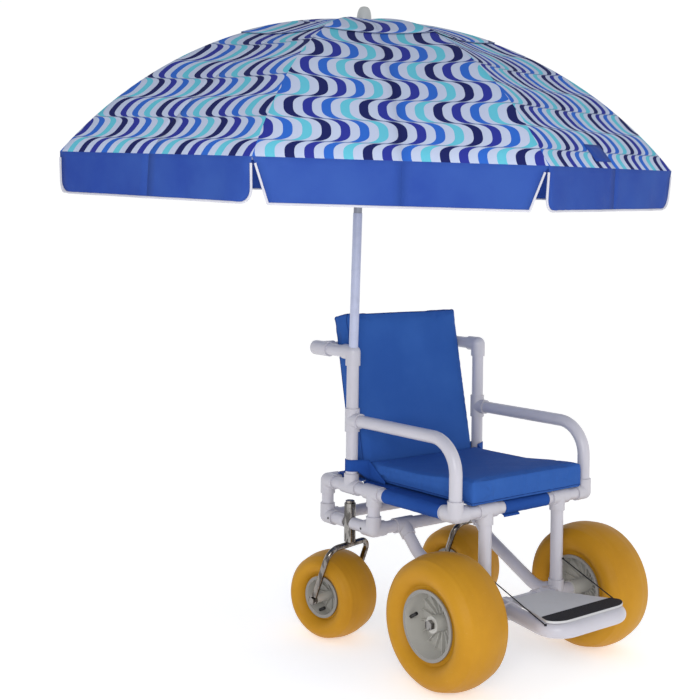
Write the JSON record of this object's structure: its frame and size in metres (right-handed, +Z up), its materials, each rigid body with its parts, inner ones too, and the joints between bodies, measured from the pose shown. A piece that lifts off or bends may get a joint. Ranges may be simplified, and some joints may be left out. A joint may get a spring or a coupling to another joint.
{
  "type": "beach wheelchair",
  "caption": "Beach wheelchair: white pipe frame on yellow balloon wheels and swivel casters, with blue cushions, a folding footrest and a folding wavy-striped parasol in the back post.",
  "frame": {"origin": "on the floor, on the middle plane, below the front axle", "axes": "+Z up, the sitter faces -Y, +X to the left of the sitter"},
  "size_m": [2.0345, 2.0318, 2.179],
  "materials": {
    "pvc": "white extruded pipe, semi-gloss",
    "cushion_vinyl": "blue coated cushion cloth",
    "sling_cloth": "blue sling cloth",
    "fasteners": "black",
    "steel": "plated",
    "fork_chrome": "polished",
    "tyre": "yellow balloon skin",
    "hub": "moulded grey",
    "footrest_board": "white board",
    "grip": "black grip strip",
    "cord": "black cord",
    "grey_pole": "grey",
    "dark_plastic": "moulded",
    "finial_plastic": "pale grey",
    "rib_steel": "painted white",
    "canopy": "printed cloth with wavy stripes"
  },
  "bodies": {
    "frame": {"side_rails": "pvc", "cross_rails": "pvc", "posts": "pvc", "armrests": "pvc", "caster_frame_tubes": "pvc", "leg_tubes": "pvc", "push_handle": "pvc", "corner_fittings": "pvc", "tee_fittings": "pvc", "handle_elbows": "pvc", "axle_crosses": "pvc", "seat_cushion": "cushion_vinyl", "back_cushion": "cushion_vinyl", "seat_sling": "sling_cloth", "set_screws": "fasteners", "caster_heads": "steel", "wheel_axle": "steel", "footrest_cords": "cord"},
    "right_front_wheel": {"front_tyre_right": "tyre", "front_hub_right": "hub"},
    "left_front_wheel": {"front_tyre_left": "tyre", "front_hub_left": "hub"},
    "right_fork": {"caster_fork_right": "fork_chrome"},
    "left_fork": {"caster_fork_left": "fork_chrome"},
    "right_caster_wheel": {"caster_tyre_right": "tyre", "caster_hub_right": "hub"},
    "left_caster_wheel": {"caster_tyre_left": "tyre", "caster_hub_left": "hub"},
    "footrest": {"footrest_frame": "pvc", "footrest_plate": "footrest_board", "footrest_grip": "grip"},
    "parasol_pole": {"pole_lower": "pvc"},
    "parasol_mast": {"pole_upper": "grey_pole", "crown": "dark_plastic", "finial": "finial_plastic"},
    "parasol_runner": {"runner": "dark_plastic"},
    "rib_arm_1": {"rib_1": "rib_steel", "canopy_panel_1": "canopy"},
    "stretcher_arm_1": {"stretcher_1": "rib_steel"},
    "rib_arm_2": {"rib_2": "rib_steel", "canopy_panel_2": "canopy"},
    "stretcher_arm_2": {"stretcher_2": "rib_steel"},
    "rib_arm_3": {"rib_3": "rib_steel", "canopy_panel_3": "canopy"},
    "stretcher_arm_3": {"stretcher_3": "rib_steel"},
    "rib_arm_4": {"rib_4": "rib_steel", "canopy_panel_4": "canopy"},
    "stretcher_arm_4": {"stretcher_4": "rib_steel"},
    "rib_arm_5": {"rib_5": "rib_steel", "canopy_panel_5": "canopy"},
    "stretcher_arm_5": {"stretcher_5": "rib_steel"},
    "rib_arm_6": {"rib_6": "rib_steel", "canopy_panel_6": "canopy"},
    "stretcher_arm_6": {"stretcher_6": "rib_steel"},
    "rib_arm_7": {"rib_7": "rib_steel", "canopy_panel_7": "canopy"},
    "stretcher_arm_7": {"stretcher_7": "rib_steel"},
    "rib_arm_8": {"rib_8": "rib_steel", "canopy_panel_8": "canopy"},
    "stretcher_arm_8": {"stretcher_8": "rib_steel"}
  },
  "joints": [
    {"name": "right_front_wheel_spin", "type": "hinge", "parent": "frame", "child": "right_front_wheel", "pos_m": [-0.337, 0, 0.21], "axis": [1, 0, 0], "continuous": true},
    {"name": "left_front_wheel_spin", "type": "hinge", "parent": "frame", "child": "left_front_wheel", "pos_m": [0.337, 0, 0.21], "axis": [1, 0, 0], "continuous": true},
    {"name": "right_caster_swivel", "type": "hinge", "parent": "frame", "child": "right_fork", "pos_m": [-0.302, 0.525, 0.40754], "axis": [0, 0, 1], "continuous": true},
    {"name": "right_caster_spin", "type": "hinge", "parent": "right_fork", "child": "right_caster_wheel", "pos_m": [-0.31703, 0.59337, 0.149], "axis": [0.9767, 0.2147, 0], "continuous": true},
    {"name": "left_caster_swivel", "type": "hinge", "parent": "frame", "child": "left_fork", "pos_m": [0.302, 0.525, 0.40754], "axis": [0, 0, 1], "continuous": true},
    {"name": "left_caster_spin", "type": "hinge", "parent": "left_fork", "child": "left_caster_wheel", "pos_m": [0.29468, 0.59462, 0.149], "axis": [0.9945, 0.1045, 0], "continuous": true},
    {"name": "footrest_fold", "type": "hinge", "parent": "frame", "child": "footrest", "pos_m": [0, 0, 0.21], "axis": [-1, 0, 0], "range_deg": [0, 72], "deforming": ["footrest_cords"]},
    {"name": "parasol_lift", "type": "slide", "parent": "frame", "child": "parasol_pole", "axis": [-0.0174, -0.0523, 0.9985], "range_m": [0, 0.12]},
    {"name": "pole_extend", "type": "slide", "parent": "parasol_pole", "child": "parasol_mast", "axis": [-0.0174, -0.0523, 0.9985], "range_m": [0, 0.38]},
    {"name": "parasol_close", "type": "slide", "parent": "parasol_mast", "child": "parasol_runner", "axis": [0.0174, 0.0523, -0.9985], "range_m": [0, 0.38863]},
    {"name": "rib_1_fold", "type": "hinge", "parent": "parasol_mast", "child": "rib_arm_1", "pos_m": [-0.35198, 0.46277, 2.1214], "axis": [-0.1676, -0.9844, -0.0545], "range_deg": [0, 45.05], "deforming": ["canopy_panel_1"]},
    {"name": "stretcher_1_fold", "type": "hinge", "parent": "rib_arm_1", "child": "stretcher_arm_1", "pos_m": [-0.63719, 0.51348, 2.08233], "axis": [-0.1676, -0.9844, -0.0545], "range_deg": [-90.1, 0]},
    {"name": "rib_2_fold", "type": "hinge", "parent": "parasol_mast", "child": "rib_arm_2", "pos_m": [-0.34687, 0.44041, 2.12032], "axis": [0.5785, -0.815, -0.0326], "range_deg": [0, 45.05], "deforming": ["canopy_panel_2"]},
    {"name": "stretcher_2_fold", "type": "hinge", "parent": "rib_arm_2", "child": "stretcher_arm_2", "pos_m": [-0.58272, 0.27498, 2.07078], "axis": [0.5785, -0.815, -0.0326], "range_deg": [-90.1, 0]},
    {"name": "rib_3_fold", "type": "hinge", "parent": "parasol_mast", "child": "rib_arm_3", "pos_m": [-0.32743, 0.42819, 2.12002], "axis": [0.9857, -0.1683, 0.0084], "range_deg": [0, 45.05], "deforming": ["canopy_panel_3"]},
    {"name": "stretcher_3_fold", "type": "hinge", "parent": "rib_arm_3", "child": "stretcher_arm_3", "pos_m": [-0.37539, 0.14465, 2.06757], "axis": [0.9857, -0.1683, 0.0084], "range_deg": [-90.1, 0]},
    {"name": "rib_4_fold", "type": "hinge", "parent": "parasol_mast", "child": "rib_arm_4", "pos_m": [-0.30505, 0.43327, 2.12068], "axis": [0.8155, 0.5771, 0.0445], "range_deg": [0, 45.05], "deforming": ["canopy_panel_4"]},
    {"name": "stretcher_4_fold", "type": "hinge", "parent": "rib_arm_4", "child": "stretcher_arm_4", "pos_m": [-0.13664, 0.19883, 2.07458], "axis": [0.8155, 0.5771, 0.0445], "range_deg": [-90.1, 0]},
    {"name": "rib_5_fold", "type": "hinge", "parent": "parasol_mast", "child": "rib_arm_5", "pos_m": [-0.29284, 0.45267, 2.12191], "axis": [0.1676, 0.9844, 0.0545], "range_deg": [0, 45.05], "deforming": ["canopy_panel_5"]},
    {"name": "stretcher_5_fold", "type": "hinge", "parent": "rib_arm_5", "child": "stretcher_arm_5", "pos_m": [-0.00634, 0.4058, 2.0877], "axis": [0.1676, 0.9844, 0.0545], "range_deg": [-90.1, 0]},
    {"name": "rib_6_fold", "type": "hinge", "parent": "parasol_mast", "child": "rib_arm_6", "pos_m": [-0.29794, 0.47503, 2.12299], "axis": [-0.5785, 0.815, 0.0326], "range_deg": [0, 45.05], "deforming": ["canopy_panel_6"]},
    {"name": "stretcher_6_fold", "type": "hinge", "parent": "rib_arm_6", "child": "stretcher_arm_6", "pos_m": [-0.06081, 0.6443, 2.09925], "axis": [-0.5785, 0.815, 0.0326], "range_deg": [-90.1, 0]},
    {"name": "rib_7_fold", "type": "hinge", "parent": "parasol_mast", "child": "rib_arm_7", "pos_m": [-0.31738, 0.48725, 2.12329], "axis": [-0.9857, 0.1683, -0.0084], "range_deg": [0, 45.05], "deforming": ["canopy_panel_7"]},
    {"name": "stretcher_7_fold", "type": "hinge", "parent": "rib_arm_7", "child": "stretcher_arm_7", "pos_m": [-0.26815, 0.77463, 2.10246], "axis": [-0.9857, 0.1683, -0.0084], "range_deg": [-90.1, 0]},
    {"name": "rib_8_fold", "type": "hinge", "parent": "parasol_mast", "child": "rib_arm_8", "pos_m": [-0.33976, 0.48217, 2.12263], "axis": [-0.8155, -0.5771, -0.0445], "range_deg": [0, 45.05], "deforming": ["canopy_panel_8"]},
    {"name": "stretcher_8_fold", "type": "hinge", "parent": "rib_arm_8", "child": "stretcher_arm_8", "pos_m": [-0.50689, 0.72045, 2.09545], "axis": [-0.8155, -0.5771, -0.0445], "range_deg": [-90.1, 0]}
  ],
  "couplings": [
    {"joint": "rib_1_fold", "follows": "parasol_close", "rad_per_m": 2.0209},
    {"joint": "stretcher_1_fold", "follows": "parasol_close", "rad_per_m": -4.0419},
    {"joint": "rib_2_fold", "follows": "parasol_close", "rad_per_m": 2.0209},
    {"joint": "stretcher_2_fold", "follows": "parasol_close", "rad_per_m": -4.0419},
    {"joint": "rib_3_fold", "follows": "parasol_close", "rad_per_m": 2.0209},
    {"joint": "stretcher_3_fold", "follows": "parasol_close", "rad_per_m": -4.0419},
    {"joint": "rib_4_fold", "follows": "parasol_close", "rad_per_m": 2.0209},
    {"joint": "stretcher_4_fold", "follows": "parasol_close", "rad_per_m": -4.0419},
    {"joint": "rib_5_fold", "follows": "parasol_close", "rad_per_m": 2.0209},
    {"joint": "stretcher_5_fold", "follows": "parasol_close", "rad_per_m": -4.0419},
    {"joint": "rib_6_fold", "follows": "parasol_close", "rad_per_m": 2.0209},
    {"joint": "stretcher_6_fold", "follows": "parasol_close", "rad_per_m": -4.0419},
    {"joint": "rib_7_fold", "follows": "parasol_close", "rad_per_m": 2.0209},
    {"joint": "stretcher_7_fold", "follows": "parasol_close", "rad_per_m": -4.0419},
    {"joint": "rib_8_fold", "follows": "parasol_close", "rad_per_m": 2.0209},
    {"joint": "stretcher_8_fold", "follows": "parasol_close", "rad_per_m": -4.0419}
  ]
}
